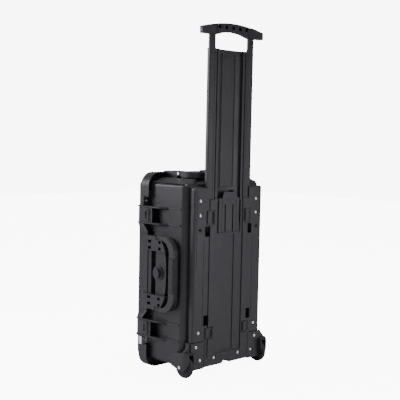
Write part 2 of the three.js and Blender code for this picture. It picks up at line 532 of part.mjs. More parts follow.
// Torsion spring round the lever's pin.
function releaseSpring() {
  const turns = 4, r = 2.35, wire = 0.4, half = 5;
  class Helix extends THREE.Curve {
    getPoint(t) {
      const a = t * turns * Math.PI * 2;
      return new THREE.Vector3(-half + 2 * half * t, TAB.pinY + r * Math.cos(a), TAB.pinZ + r * Math.sin(a));
    }
  }
  const section = new THREE.Shape();
  section.absarc(0, 0, wire, 0, Math.PI * 2);
  const options = { steps: turns * 9, extrudePath: new Helix(), curveSegments: 2 };
  return solid(new THREE.ExtrudeGeometry(section, options));
}

// ---------------------------------------------------------------- wheels
// The cheek that covers the wheel's outside, in (y, z).
function cheekShape() {
  const cheek = new THREE.Shape();
  cheek.moveTo(84, 25);
  cheek.lineTo(54.5, 33);
  cheek.lineTo(56, 53);
  cheek.quadraticCurveTo(58, 68, 72, 71);
  cheek.lineTo(105, 74.6);
  cheek.quadraticCurveTo(117, 73, 117, 60);
  cheek.lineTo(117, 44);
  cheek.quadraticCurveTo(114, 33, 102, 22.5);
  return cheek;
}

// The cheek's back upright edge is rounded off outside this outline, in (x, y).
const CHEEK_EDGE = [[CHEEK_X + 1, 97], [163.5, 106], [160.5, 113], [156.5, 119], [CHEEK_X + 1, 119]];

function wheelBracket() {
  const wheelX = [WHEEL.x0 - 1.5, WHEEL.x1 + 1.5];
  let made = box(PLATE.x0 + GAP, 138, PANEL.y0, STEPS[0][1], 20, PLATE.z1);
  made = cut(made, box(PLATE.x0 + 4, 134, 70, STEPS[0][1] - PANEL.t, 24, PLATE.z1 - 4));
  const gusset = shapeOf([[134, 70], [161, 70], [160, 77], [143, PLATE.z1], [134, PLATE.z1]]);
  made = join(made, cut(alongX(cheekShape(), 134, CHEEK_X), alongZ(shapeOf(CHEEK_EDGE), 10, 85)),
    alongY(gusset, 98, 102));
  for (const [x, z] of PLATE_SCREWS) made = join(made, rod("y", 5.5, PANEL.y0, 103, [x, z], 12));
  made = cut(made, rod("x", WHEEL.r + 2.5, ...wheelX, [WHEEL.y, WHEEL.z], 20),
    box(...wheelX, WHEEL.y, 140, -5, 68), box(...wheelX, 40, 140, -5, WHEEL.z),
    rod("x", 4.3, 120, 170, [WHEEL.y, WHEEL.z], 12));
  for (const [x, z] of PLATE_SCREWS) {
    made = cut(made, rod("y", 2.3, 70, 120, [x, z], 8), rod("y", 7, 103.4, 120, [x, z], 12));
  }
  return made;
}

// Profiles from one side to the wheel's middle as [radius, depth from the side], mirrored to the other side.
const mirrored = (half) => [...half.map(([r, d]) => [r, WHEEL.x0 + d]),
  ...half.slice().reverse().map(([r, d]) => [r, WHEEL.x1 - d])];
const hubProfile = mirrored([[4.4, 0.8], [9, 0.8], [9, 3.5], [WHEEL.hub - 3, 3.5], [WHEEL.hub - 2, 1],
  [WHEEL.hub, 1]]);
const tyreProfile = mirrored([[WHEEL.hub + GAP, 0.5], [WHEEL.r - 5, 0], [WHEEL.r - 1.2, 2], [WHEEL.r, 5]]);

function axle() {
  return join(rod("x", 4, 128, CHEEK_X + 1, [WHEEL.y, WHEEL.z], 12),
    rod("x", 4.8, CHEEK_X + GAP, CHEEK_X + 2.4, [WHEEL.y, WHEEL.z], 12));
}

function screw(x, z) {
  return join(rod("y", 2, BACK_Y - 4, 104, [x, z], 8), rod("y", 4.8, 103.7, 106, [x, z], 10));
}

// ---------------------------------------------------------------- small fittings
// A folded plate over the base's ear: one leaf with the shackle's hole, one round the outer edge.
function padlockPlate(s) {
  const y0 = PART_Y + EAR.t + GAP, x1 = EAR.x1 + GAP, t = 1.5;
  return cut(join(boxIn([EAR.x0 - 3, x1 + t], [y0, y0 + t], earZ(s)),
    boxIn([x1, x1 + t], [PART_Y - EAR.lid, y0 + t], earZ(s))), earHole(s));
}

function valveBody() {
  return join(rod("x", VALVE.r - 5, 138, 163, [VALVE.y, MID_Z], 16),
    rod("x", VALVE.r, 158 + GAP, 164.6, [VALVE.y, MID_Z], 16));
}

function valveKnob() {
  let made = rod("x", VALVE.knob, 165, 170.5, [VALVE.y, MID_Z], 18);
  for (let i = 0; i < 6; i++) {
    const a = (i / 6) * Math.PI * 2, r = VALVE.knob + 0.6;
    made = cut(made, rod("x", 1.8, 160, 180, [VALVE.y + r * Math.cos(a), MID_Z + r * Math.sin(a)], 6));
  }
  return made;
}

// ---------------------------------------------------------------- assembly
put("base_shell", baseShell(), resin);
put("lid_shell", lidShell(), resin);
put("lid_seal", sealRing(SEAL.in + 0.4, SEAL.out - 0.4, PART_Y - SEAL.depth + GAP, PART_Y - 0.1), seal);
for (const [label, s] of [["upper", 1], ["lower", -1]]) {
  const z = MID_Z + s * LATCH_Z;
  put(`hinge_pin_${label}`, knuckle(HINGE.pin, hingeZ(s) - HINGE.half, hingeZ(s) + HINGE.half), steel);
  put(`latch_${label}_plate`, latchPlate(z), nylon);
  put(`latch_${label}_lever`, latchLever(z), nylon);
  put(`latch_${label}_plate_pin`, rod("z", 2, z - 24.5, z + 24.5, LATCH_PIN, 10), steel);
  put(`latch_${label}_lever_pin`, rod("z", 1.6, z - 19.5, z + 19.5, LEVER_PIN, 10), steel);
  put(`padlock_plate_${label}`, padlockPlate(s), steel);
}
for (const [label, place] of [["top", onTop], ["front", onFront]]) {
  const handle = HANDLES[label];
  put(`${label}_handle_frame`, place(handleFrame(handle)), nylon);
  put(`${label}_handle_grip`, place(handleSleeve(handle)), rubber);
  both((s, i) => put(`${label}_handle_pin_${i + 1}`, place(handlePin(handle, s)), steel));
}
put("purge_valve_body", valveBody(), nylon);
put("purge_valve_knob", valveKnob(), nylon);

put("trolley_panel", trolleyPanel(), resin);
put("trolley_slide", slidePlate(), nylon);
put("trolley_grip", trolleyGrip(), nylon);
put("release_lever", releaseLever(), nylon);
put("release_lever_pin", rod("x", 1.6, -45, 45, [TAB.pinY, TAB.pinZ], 8), steel);
put("release_spring", releaseSpring(), steel);
for (const [label, s] of [["left", 1], ["right", -1]]) {
  const side = (m) => (s > 0 ? m : m.mirror([1, 0, 0]));
  const { x, y0, y1, legIn, legLow } = SLIDE;
  put(`trolley_guide_${label}`, side(trolleyGuide()), nylon);
  put(`trolley_shoe_${label}`, side(box(legIn, x, y0, y1, legLow - 15, legLow - GAP)), nylon);
  put(`wheel_bracket_${label}`, side(wheelBracket()), resin);
  put(`wheel_hub_${label}`, side(turnedX(hubProfile, WHEEL.y, WHEEL.z)), nylon);
  put(`wheel_tyre_${label}`, side(turnedX(tyreProfile, WHEEL.y, WHEEL.z, 24)), rubber);
  put(`wheel_axle_${label}`, side(axle()), steel);
  PANEL_SCREWS.forEach(([px, pz], i) => put(`panel_screw_${label}_${i + 1}`, screw(s * px, pz), steel));
  PLATE_SCREWS.forEach(([px, pz], i) => put(`bracket_screw_${label}_${i + 1}`, screw(s * px, pz), steel));
}

export default root;
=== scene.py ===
import json
import math

import bmesh
import bpy
from mathutils import Matrix, Vector


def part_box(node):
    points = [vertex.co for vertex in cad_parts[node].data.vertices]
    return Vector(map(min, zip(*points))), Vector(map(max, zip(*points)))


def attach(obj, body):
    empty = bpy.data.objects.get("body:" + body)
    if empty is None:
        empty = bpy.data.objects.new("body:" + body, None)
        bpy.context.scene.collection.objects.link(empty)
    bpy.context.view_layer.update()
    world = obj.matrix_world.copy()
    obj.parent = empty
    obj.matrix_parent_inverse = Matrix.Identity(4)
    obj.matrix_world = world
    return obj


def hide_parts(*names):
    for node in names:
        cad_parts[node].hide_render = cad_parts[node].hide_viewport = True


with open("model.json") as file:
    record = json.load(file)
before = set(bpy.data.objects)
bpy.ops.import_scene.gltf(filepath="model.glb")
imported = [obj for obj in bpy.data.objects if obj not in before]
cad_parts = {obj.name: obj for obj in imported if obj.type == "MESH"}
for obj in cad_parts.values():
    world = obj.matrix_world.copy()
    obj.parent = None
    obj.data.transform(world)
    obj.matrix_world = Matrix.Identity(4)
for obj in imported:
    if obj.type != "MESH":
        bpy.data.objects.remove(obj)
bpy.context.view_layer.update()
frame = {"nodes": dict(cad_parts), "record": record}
NODES = frame["nodes"]
BODIES = frame["record"]["behaviour"]["bodies"]
BODY_OF = {node: body for body, nodes in BODIES.items() for node in nodes}
SLOT_OF = {part["node"]: part["material_slot"] for part in frame["record"]["subparts"]}
MM = 0.001

# ---------------------------------------------------------------- camera, floor and lights
CAMERA_AT = Vector((1.7223, 1.7878, 0.669))
CAMERA_YAW = math.radians(43.69)  # heading of the view, turned from -Y towards -X
CAMERA_PITCH = math.radians(4.36)  # downwards
CAMERA_ROLL = math.radians(1.17)
CAMERA_REACH = 50  # how far off the camera still sees
LENS_MM = 77.2
SENSOR_MM = 36


def view_axes():
    """The directions to the right, up and ahead of the camera."""
    look = Vector((-math.sin(CAMERA_YAW) * math.cos(CAMERA_PITCH),
                   -math.cos(CAMERA_YAW) * math.cos(CAMERA_PITCH),
                   -math.sin(CAMERA_PITCH)))
    level_right = look.cross(Vector((0, 0, 1))).normalized()
    level_up = level_right.cross(look)
    right = level_right * math.cos(CAMERA_ROLL) + level_up * math.sin(CAMERA_ROLL)
    return right, right.cross(look), look


def set_camera():
    right, up, look = view_axes()
    data = bpy.data.cameras.new("camera")
    data.lens = LENS_MM
    data.sensor_width = SENSOR_MM
    data.clip_end = CAMERA_REACH
    camera = bpy.data.objects.new("camera", data)
    turn = Matrix((right, up, -look)).transposed().to_4x4()
    camera.matrix_world = Matrix.Translation(CAMERA_AT) @ turn
    bpy.context.scene.collection.objects.link(camera)
    bpy.context.scene.camera = camera


LAMP_COLOR = (0.925, 0.92, 1.0)


def area_light(name, at, target, width, height, watts):
    data = bpy.data.lights.new(name, "AREA")
    data.energy = watts
    data.color = LAMP_COLOR
    data.shape = "RECTANGLE"
    data.size = width
    data.size_y = height
    lamp = bpy.data.objects.new(name, data)
    lamp.location = at
    lamp.rotation_euler = (Vector(target) - Vector(at)).to_track_quat("-Z", "Y").to_euler()
    bpy.context.scene.collection.objects.link(lamp)


AMBIENT = 0.17  # how bright the room is for everything but the camera
AMBIENT_COLOR = (0.94, 0.94, 1, 1)
BACKDROP = 10.0  # how bright the white backdrop looks to the camera
FLOOR_GLOW = 0.9  # the floor's own glow, as a share of the backdrop's brightness
FLOOR_REACH = 6


def by_camera(tree, seen, lit):
    """The shader seen for what the camera looks at straight, lit for all other light."""
    mix = tree.nodes.new("ShaderNodeMixShader")
    tree.links.new(tree.nodes.new("ShaderNodeLightPath").outputs["Is Camera Ray"], mix.inputs[0])
    tree.links.new(lit, mix.inputs[1])
    tree.links.new(seen, mix.inputs[2])
    return mix.outputs[0]


def set_studio():
    world = bpy.data.worlds.new("studio")
    bpy.context.scene.world = world
    world.use_nodes = True
    tree = world.node_tree
    room = tree.nodes["Background"]
    room.inputs["Color"].default_value = AMBIENT_COLOR
    room.inputs["Strength"].default_value = AMBIENT
    backdrop = tree.nodes.new("ShaderNodeBackground")
    backdrop.inputs["Strength"].default_value = BACKDROP
    surface = by_camera(tree, backdrop.outputs[0], room.outputs[0])
    tree.links.new(surface, tree.nodes["World Output"].inputs["Surface"])
    area_light("left box", (1.5, -1.15, 1.05), (0, 0, 0.55), 0.8, 0.9, watts=26)
    area_light("right box", (-0.85, 1.5, 0.5), (0, 0.1, 0.4), 0.7, 0.9, watts=6.5)
    area_light("top box", (0.1, 0.1, 2.4), (0, 0, 0.4), 1.4, 1.4, watts=52)
    area_light("fill", (2.3, 2.1, 1.1), (0, 0, 0.4), 1.2, 1.2, watts=7)


def floor_paint():
    """White to the camera, pale and dull for all other light."""
    paint = bpy.data.materials.new("floor_paint")
    paint.use_nodes = True
    tree = paint.node_tree
    pale = tree.nodes["Principled BSDF"]
    pale.inputs["Base Color"].default_value = (0.93, 0.93, 0.93, 1)
    pale.inputs["Roughness"].default_value = 0.9
    glow = tree.nodes.new("ShaderNodeEmission")
    glow.inputs["Strength"].default_value = BACKDROP * FLOOR_GLOW
    glowing = tree.nodes.new("ShaderNodeAddShader")
    tree.links.new(pale.outputs[0], glowing.inputs[0])
    tree.links.new(glow.outputs[0], glowing.inputs[1])
    dull = tree.nodes.new("ShaderNodeBsdfDiffuse")
    dull.inputs["Color"].default_value = (0.8, 0.8, 0.8, 1)
    surface = by_camera(tree, glowing.outputs[0], dull.outputs[0])
    tree.links.new(surface, tree.nodes["Material Output"].inputs["Surface"])
    return paint


def make_floor():
    mesh = bpy.data.meshes.new("floor")
    corners = [(x * FLOOR_REACH, y * FLOOR_REACH, 0) for x, y in ((-1, -1), (1, -1), (1, 1), (-1, 1))]
    mesh.from_pydata(corners, [], [(0, 1, 2, 3)])
    mesh.materials.append(floor_paint())
    floor = bpy.data.objects.new("floor", mesh)
    bpy.context.scene.collection.objects.link(floor)


# ---------------------------------------------------------------- materials
class Nodes:
    """A short way to build a node tree."""

    def __init__(self, name):
        self.material = bpy.data.materials.new(name)
        self.material.use_nodes = True
        self.tree = self.material.node_tree
        self.shader = self.tree.nodes["Principled BSDF"]

    def add(self, kind, links=None, **settings):
        node = self.tree.nodes.new(kind)
        for key, value in settings.items():
            if key in node.inputs:
                node.inputs[key].default_value = value
            else:
                setattr(node, key, value)
        for socket, source in (links or {}).items():
            self.tree.links.new(source, node.inputs[socket])
        return node

    def feed(self, socket, source):
        """Link a value to one of the shader's own sockets."""
        self.tree.links.new(source, self.shader.inputs[socket])

    def ramp(self, source, stops):
        """Two stops, each a position and a colour."""
        node = self.add("ShaderNodeValToRGB", {"Fac": source})
        for element, (position, color) in zip(node.color_ramp.elements, stops):
            element.position = position
            element.color = (*color, 1)
        return node.outputs["Color"]

    def noise(self, scale, detail=3, roughness=0.5, stretch=None):
        place = self.add("ShaderNodeTexCoord").outputs["Object"]
        if stretch:
            place = self.add("ShaderNodeMapping", {"Vector": place}, Scale=stretch).outputs["Vector"]
        return self.add("ShaderNodeTexNoise", {"Vector": place}, Scale=scale, Detail=detail,
                        Roughness=roughness).outputs["Fac"]


def grey(value, blue=0.0):
    return (value, value, value + blue)


EDGE_WEAR = 0.5  # how far the worst scuff goes towards its paler colour
SCUFF_PALER = 2.6  # how many times as pale as the plastic that colour is
BRUSHING = (1, 1, 14)  # the steel's grain is this many times finer along each axis


def scuffed(n, color, level):
    """The colour with paler scuffs in patches along the edges."""
    edge = n.add("ShaderNodeNewGeometry").outputs["Pointiness"]
    worn = n.ramp(edge, [(0.515, grey(0)), (0.60, grey(1))])
    patch = n.ramp(n.noise(38, 5, 0.65), [(0.45, grey(0)), (0.72, grey(1))])
    scuff = n.add("ShaderNodeMath", {0: worn, 1: patch}, operation="MULTIPLY").outputs[0]
    amount = n.add("ShaderNodeMath", {0: scuff}, operation="MULTIPLY")
    amount.inputs[1].default_value = EDGE_WEAR
    mix = n.add("ShaderNodeMix", {"Factor": amount.outputs[0], 6: color}, data_type="RGBA")
    mix.inputs[7].default_value = (*grey(level * SCUFF_PALER, 0.004), 1)
    return mix.outputs[2]


def moulded_plastic(name, level, roughness, grain_scale, grain):
    """Black moulded plastic: fine spark-eroded grain, uneven gloss, and paler scuffs along the edges."""
    n = Nodes(name)
    cloud = n.noise(7, 4, 0.6)
    color = n.ramp(cloud, [(0.3, grey(level * 0.86, 0.001)), (0.7, grey(level * 1.14, 0.0015))])
    n.feed("Base Color", scuffed(n, color, level))
    gloss = n.ramp(n.noise(14, 5, 0.6), [(0.25, grey(roughness - 0.06)), (0.75, grey(roughness + 0.07))])
    n.feed("Roughness", gloss)
    pores = n.noise(grain_scale, 2, 0.5)
    waves = n.noise(60, 2, 0.5)
    bump = n.add("ShaderNodeBump", {"Height": pores}, Strength=grain, Distance=0.0002)
    soft = n.add("ShaderNodeBump", {"Height": waves, "Normal": bump.outputs["Normal"]}, Strength=0.05,
                 Distance=0.0006)
    n.feed("Normal", soft.outputs["Normal"])
    return n.material


def soft_rubber(name, level, roughness):
    """Soft black rubber: low gloss, a dusty bloom in patches and a fine stipple."""
    n = Nodes(name)
    bloom = n.noise(22, 5, 0.65)
    n.feed("Base Color", n.ramp(bloom, [(0.35, grey(level)), (0.8, grey(level * 1.7, 0.001))]))
    gloss = n.ramp(n.noise(40, 3), [(0.3, grey(roughness - 0.06)), (0.7, grey(roughness + 0.08))])
    n.feed("Roughness", gloss)
    stipple = n.noise(700, 2)
    bump = n.add("ShaderNodeBump", {"Height": stipple}, Strength=0.3, Distance=0.0003)
    n.feed("Normal", bump.outputs["Normal"])
    return n.material


def bright_steel(name):
    """Stainless steel with a fine brushed grain."""
    n = Nodes(name)
    n.shader.inputs["Metallic"].default_value = 1
    grain = n.noise(300, 4, 0.6, BRUSHING)
    n.feed("Base Color", n.ramp(grain, [(0.3, (0.72, 0.72, 0.73)), (0.7, (0.88, 0.88, 0.89))]))
    n.feed("Roughness", n.ramp(grain, [(0.3, grey(0.34)), (0.7, grey(0.5))]))
    bump = n.add("ShaderNodeBump", {"Height": grain}, Strength=0.15, Distance=0.0001)
    n.feed("Normal", bump.outputs["Normal"])
    return n.material


def make_materials():
    return {
        "case_resin": moulded_plastic("case_resin", 0.021, 0.42, 700, 0.3),
        "nylon": moulded_plastic("nylon", 0.022, 0.42, 1100, 0.18),
        "grip_rubber": soft_rubber("grip_rubber", 0.013, 0.55),
        "seal_rubber": soft_rubber("seal_rubber", 0.010, 0.8),
        "tyre_rubber": soft_rubber("tyre_rubber", 0.018, 0.7),
        "steel": bright_steel("steel"),
    }


MATERIALS = make_materials()

# ---------------------------------------------------------------- solids
# For each axis: the two axes that an outline is drawn on, then the one it runs along.
AXES = {"x": (1, 2, 0), "y": (0, 2, 1), "z": (0, 1, 2)}
LATHE_SIDES = 24
CIRCLE_SIDES = 20
SAME_POINT = 1e-6  # metres: corners closer than this are one


def prism(work, outline, axis, start, end):
    """A closed solid: a simple outline run along an axis."""
    first, second, along = AXES[axis]
    rings = []
    for level in (start, end):
        ring = []
        for u, v in outline:
            place = [0, 0, 0]
            place[first], place[second], place[along] = u * MM, v * MM, level * MM
            ring.append(work.verts.new(place))
        rings.append(ring)
    low, high = rings
    faces = [work.faces.new(low), work.faces.new(high)]
    for i, corner in enumerate(low):
        after = (i + 1) % len(low)
        faces.append(work.faces.new((corner, low[after], high[after], high[i])))
    bmesh.ops.recalc_face_normals(work, faces=faces)


def block(work, x, y, z):
    (x0, x1), (z0, z1) = sorted(x), sorted(z)
    prism(work, [(x0, z0), (x1, z0), (x1, z1), (x0, z1)], "y", *sorted(y))


def lathe_ring(work, radius, distance, axis, at):
    """The corners of one ring of a lathe, or its tip where the radius is 0."""
    first, second, along = AXES[axis]
    ring = []
    for i in range(LATHE_SIDES if radius > 0 else 1):
        angle = 2 * math.pi * i / LATHE_SIDES
        place = [0, 0, 0]
        place[first] = (at[0] + radius * math.cos(angle)) * MM
        place[second] = (at[1] + radius * math.sin(angle)) * MM
        place[along] = distance * MM
        ring.append(work.verts.new(place))
    return ring


def lathe(work, profile, axis, at):
    """A closed solid: [radius, distance] pairs, from tip to tip, turned about an axis through at."""
    rings = [lathe_ring(work, radius, distance, axis, at) for radius, distance in profile]
    faces = []
    for low, high in zip(rings, rings[1:]):
        for i in range(LATHE_SIDES):
            after = (i + 1) % LATHE_SIDES
            corners = [low[i % len(low)], low[after % len(low)],
                       high[after % len(high)], high[i % len(high)]]
            corners = list(dict.fromkeys(corners))
            if len(corners) > 2:
                faces.append(work.faces.new(corners))
    bmesh.ops.recalc_face_normals(work, faces=faces)


def rounded(x, z, r, steps=4):
    """The outline of a rectangle between two spans with rounded corners."""
    (x0, x1), (z0, z1) = sorted(x), sorted(z)
    centres = ((x1 - r, z1 - r), (x0 + r, z1 - r), (x0 + r, z0 + r), (x1 - r, z0 + r))
    points = []
    for turn, (cx, cz) in enumerate(centres):
        for i in range(steps + 1):
            angle = math.pi / 2 * (turn + i / steps)
            points.append((cx + r * math.cos(angle), cz + r * math.sin(angle)))
    return points


def circle(x, z, r):
    angles = [2 * math.pi * i / CIRCLE_SIDES for i in range(CIRCLE_SIDES)]
    return [(x + r * math.cos(angle), z + r * math.sin(angle)) for angle in angles]


def new_object(name, work):
    mesh = bpy.data.meshes.new(name)
    work.to_mesh(mesh)
    work.free()
    obj = bpy.data.objects.new(name, mesh)
    bpy.context.scene.collection.objects.link(obj)
    return obj


def combine(obj, work, operation):
    tool = new_object("tool", work)
    change = obj.modifiers.new("change", "BOOLEAN")
    change.operation = operation
    change.solver = "MANIFOLD"
    change.object = tool
    bpy.context.view_layer.update()
    made = bpy.data.meshes.new_from_object(obj.evaluated_get(bpy.context.evaluated_depsgraph_get()))
    obj.modifiers.clear()
    obj.data = made
    bpy.data.objects.remove(tool)


def changed(obj, fills, operation):
    """Each fill is a function that draws closed solids into a bmesh. The fills are used in turn."""
    for fill in fills:
        work = bmesh.new()
        fill(work)
        combine(obj, work, operation)
    return obj


def cut(obj, *fills):
    return changed(obj, fills, "DIFFERENCE")


def join(obj, *fills):
    return changed(obj, fills, "UNION")


def keep(obj, *fills):
    """Keep only what obj and the fills both hold."""
    return changed(obj, fills, "INTERSECT")


def cad_copy(node):
    work = bmesh.new()
    work.from_mesh(NODES[node].data)
    bmesh.ops.remove_doubles(work, verts=work.verts, dist=SAME_POINT)
    return new_object(node + "_part", work)


def both(draw):
    """The same solids on the left, +X, and on the right."""
    def fill(work):
        for side in (1, -1):
            draw(work, side)
    return fill


# ---------------------------------------------------------------- pieces
BIGGEST_FACE = 6  # faces with more corners than this are split before their edges are rounded
FLAT_ANGLE = math.radians(1.5)  # faces that meet at less than this are merged
SMOOTH_ANGLE = math.radians(32)  # edges flatter than this are shaded smooth
ROUNDED_ANGLE = math.radians(40)  # edges sharper than this are rounded
EDGE_WIDTH = 0.4
EDGE_WIDTHS = {"base_shell": 0.7, "lid_shell": 0.7, "wheel_bracket_left": 2.2, "wheel_bracket_right": 2.2,
               "front_handle_frame": 2.4, "top_handle_frame": 2.4,
               "latch_upper_plate": 0.7, "latch_lower_plate": 0.7}


def finished(obj, slot, body, replaced=(), edge=EDGE_WIDTH):
    """Flat faces merged, edges rounded as a moulding has them, material and body set."""
    work = bmesh.new()
    work.from_mesh(obj.data)
    bmesh.ops.remove_doubles(work, verts=work.verts, dist=SAME_POINT)
    bmesh.ops.dissolve_limit(work, angle_limit=FLAT_ANGLE, verts=work.verts, edges=work.edges)
    bmesh.ops.triangulate(work, faces=[face for face in work.faces if len(face.verts) > BIGGEST_FACE])
    work.to_mesh(obj.data)
    work.free()
    obj.data.shade_smooth()
    obj.data.set_sharp_from_angle(angle=SMOOTH_ANGLE)
    bevel = obj.modifiers.new("edges", "BEVEL")
    bevel.width = edge * MM
    bevel.segments = 2
    bevel.limit_method = "ANGLE"
    bevel.angle_limit = ROUNDED_ANGLE
    bevel.miter_outer = "MITER_ARC"
    normals = obj.modifiers.new("normals", "WEIGHTED_NORMAL")
    normals.keep_sharp = True
    obj.data.materials.clear()
    obj.data.materials.append(MATERIALS[slot])
    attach(obj, body)
    if replaced:
        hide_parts(*replaced)


# ---------------------------------------------------------------- trolley panel and release lever
CENTRE_FACE = 103  # y of the panel's outside, which stands out further towards its sides
MIDDLE_FACE = 104.8
SIDE_FACE = 105.2
OUT = 110  # past the outside of the panel
PANEL_GROOVES = (  # from the middle, width, face, depth, lower end, upper end
    (124.5, 1.3, SIDE_FACE, 1.1, 300, 519),
    (77, 1.4, SIDE_FACE, 1.4, 48, 500),
    (54, 1.4, MIDDLE_FACE, 1.5, 56, 486),
    (21, 1.3, CENTRE_FACE, 1.6, 62, 390),
    (97.6, 1.1, SIDE_FACE, 0.8, 140, 380),
)
LEDGE_GROOVE_HEIGHTS = (461.6, 134.5, 100.8)
CLIP_X = (60.5, 86)
CLIP_Z = ((421.8, 460.2), (102.8, 132.2))


def panel_walls(work, side):
    """An inner wall, so that the panel's edge can be undercut."""
    block(work, (side * 127, side * 132), (82.3, 104), (97, 523))


def panel_undercut(work, side):
    block(work, (side * 130.4, side * 140), (78, 91.5), (96.9, 527))


def panel_grooves(work, side):
    for x, width, face, depth, low, high in PANEL_GROOVES:
        block(work, (side * (x - width / 2), side * (x + width / 2)), (face - depth, OUT), (low, high))


def panel_ledge_grooves(work, side):
    for z in LEDGE_GROOVE_HEIGHTS:
        block(work, (side * 55.5, side * 75.6), (105.6, OUT), (z - 0.6, z + 0.6))


def panel_pockets(work, side):
    """Where the spring clips sit."""
    for z0, z1 in CLIP_Z:
        outline = rounded((side * (CLIP_X[0] - 2.4), side * (CLIP_X[1] + 2)), (z0 - 1.8, z1 + 1.8), 4)
        prism(work, outline, "y", 103.4, OUT)


def panel_sinks(work, side):
    prism(work, circle(side * 112, 408, 6), "y", 103.6, OUT)


def panel_seams(side):
    """Wider joints round a wheel bracket and beside the release lever."""
    def fill(work):
        block(work, (side * 86.6, side * 89), (101, OUT), (0, 98))
        block(work, (side * 87, side * 140), (101, OUT), (96, 98))
        block(work, (side * 43, side * 46.5), (100, OUT), (396, 486))
    return fill


def dress_panel():
    obj = join(cad_copy("trolley_panel"), both(panel_walls))
    cut(obj, both(panel_undercut), both(panel_grooves), both(panel_ledge_grooves), both(panel_pockets),
        both(panel_sinks), panel_seams(1), panel_seams(-1))
    finished(obj, "case_resin", "base", ["trolley_panel"], 0.35)


def make_clip(side, z0, z1):
    """A spring clip in the panel that holds the slide's guide: a rim, a sunk face and an open slot."""
    work = bmesh.new()
    prism(work, rounded((side * CLIP_X[0], side * CLIP_X[1]), (z0, z1), 3), "y", 103.5, 107.8)
    clip = new_object("panel_clip", work)
    inner = rounded((side * (CLIP_X[0] + 6.2), side * (CLIP_X[1] - 2.2)), (z0 + 2.2, z1 - 2.2), 2)
    slot = (side * (CLIP_X[0] + 1.4), side * (CLIP_X[0] + 4.8))
    cut(clip, lambda work: prism(work, inner, "y", 106.2, OUT),
        lambda work: block(work, slot, (104.2, OUT), (z0 + 3, z1 - 3)))
    finished(clip, "nylon", "base", (), 0.3)


def make_clips():
    for side in (1, -1):
        for z0, z1 in CLIP_Z:
            make_clip(side, z0, z1)


LEVER_OUT = 106  # past the outside of the release lever's flat part


def lever_sides(work, side):
    block(work, (side * 40.4, side * 50), (101.6, LEVER_OUT), (390, 494))


def lever_wide_grooves(work, side):
    block(work, (side * 13, side * 17), (100.6, LEVER_OUT), (390, 474))


def lever_fine_grooves(work, side):
    block(work, (side * 27.6, side * 28.6), (103.5, LEVER_OUT), (398, 487))


def dress_lever():
    """The release lever with deeper grooves and narrower sides than the CAD node's."""
    obj = cut(cad_copy("release_lever"), both(lever_sides), both(lever_wide_grooves),
              both(lever_fine_grooves))
    finished(obj, "nylon", "release_lever", ["release_lever"], 0.5)


# ---------------------------------------------------------------- trolley slide and grip
SUNK_TOP = 892.5  # the top end of the shoulders and beads in the slide's sunk middle
SLIDE_OUT = 103  # past the outside of the slide
SLIDE_LOW = 470  # where the grooves in its sides start


def slide_ledge(work):
    """A ledge above the slide's sunk middle."""
    block(work, (-60, 60), (90, 95.4), (897.5, 904.5))


def slide_hollow(work):
    """The sunk middle dips further towards its centre."""
    dip = [(-43, 93.4), (-43, 93), (-25, 90.2), (25, 90.2), (43, 93), (43, 93.4)]
    prism(work, dip, "z", 524, 893)


def slide_shoulder(work, side):
    """A low slope at the edge of the sunk middle.

    The panel's cheeks for the lever's pin start at y 94.3, so the slope ends below that to pass them.
    """
    slope = [(side * 46.5, 94), (side * 46.5, 91.6), (side * 37, 91.6), (side * 38, 92.4)]
    prism(work, slope, "z", 471, SUNK_TOP)


def slide_bead(work, side):
    block(work, (side * 23.5, side * 27), (89, 91.7), (524.5, SUNK_TOP))


def slide_outer_groove(work, side):
    block(work, (side * 83.4, side * 84.4), (100.7, SLIDE_OUT), (SLIDE_LOW, 899))


def slide_inner_groove(work, side):
    block(work, (side * 64.6, side * 65.4), (100.8, SLIDE_OUT), (SLIDE_LOW, 897))


def dress_slide():
    obj = join(cad_copy("trolley_slide"), slide_ledge)
    cut(obj, slide_hollow)
    join(obj, both(slide_shoulder), both(slide_bead))
    cut(obj, both(slide_outer_groove), both(slide_inner_groove))
    finished(obj, "nylon", "trolley", ["trolley_slide"], 0.5)


GRIP_SEAM = 61  # from the middle of the grip to the joint between its sleeve and each hard end
GRIP_JOINT_HALF = 0.5
GRIP_END = 130  # past the ends of the grip
GRIP_EDGE = 0.9
POCKET_PITCH = 26.5
POCKET_HALF = 5


def grip_pockets(work):
    """The five pockets in the grip, larger and deeper than the CAD node's."""
    for i in range(-2, 3):
        middle = POCKET_PITCH * i
        block(work, (middle - POCKET_HALF, middle + POCKET_HALF), (98.5, 110), (959.6, 969))


def grip_piece(name, start, end):
    """The grip between two places along it."""
    obj = keep(cad_copy("trolley_grip"), lambda work: block(work, (start, end), (80, 120), (930, 990)))
    obj.name = name
    return obj


def dress_grip():
    """The trolley grip: a soft sleeve over its middle, between two hard ends, on a core."""
    near, far = GRIP_SEAM - GRIP_JOINT_HALF, GRIP_SEAM + GRIP_JOINT_HALF
    sleeve = cut(grip_piece("grip_middle", -near, near), grip_pockets)
    finished(sleeve, "grip_rubber", "trolley", ["trolley_grip"], GRIP_EDGE)
    finished(grip_piece("grip_end_left", far, GRIP_END), "nylon", "trolley", (), GRIP_EDGE)
    finished(grip_piece("grip_end_right", -GRIP_END, -far), "nylon", "trolley", (), GRIP_EDGE)
    work = bmesh.new()
    block(work, (-GRIP_SEAM - 0.6, GRIP_SEAM + 0.6), (95, 102), (954.5, 959))
    finished(new_object("grip_core", work), "nylon", "trolley", (), 0.6)


# ---------------------------------------------------------------- latches
LATCH_HALF = 18.5  # half the height that a latch lever's bead and grooves run
LATCH_OUT = 175  # past the outside of a latch's lever


def latch_heights():
    """The middle of each latch, up the case."""
    boxes = [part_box(f"latch_{row}_lever") for row in ("upper", "lower")]
    return [(low[2] + high[2]) / 2 / MM for low, high in boxes]


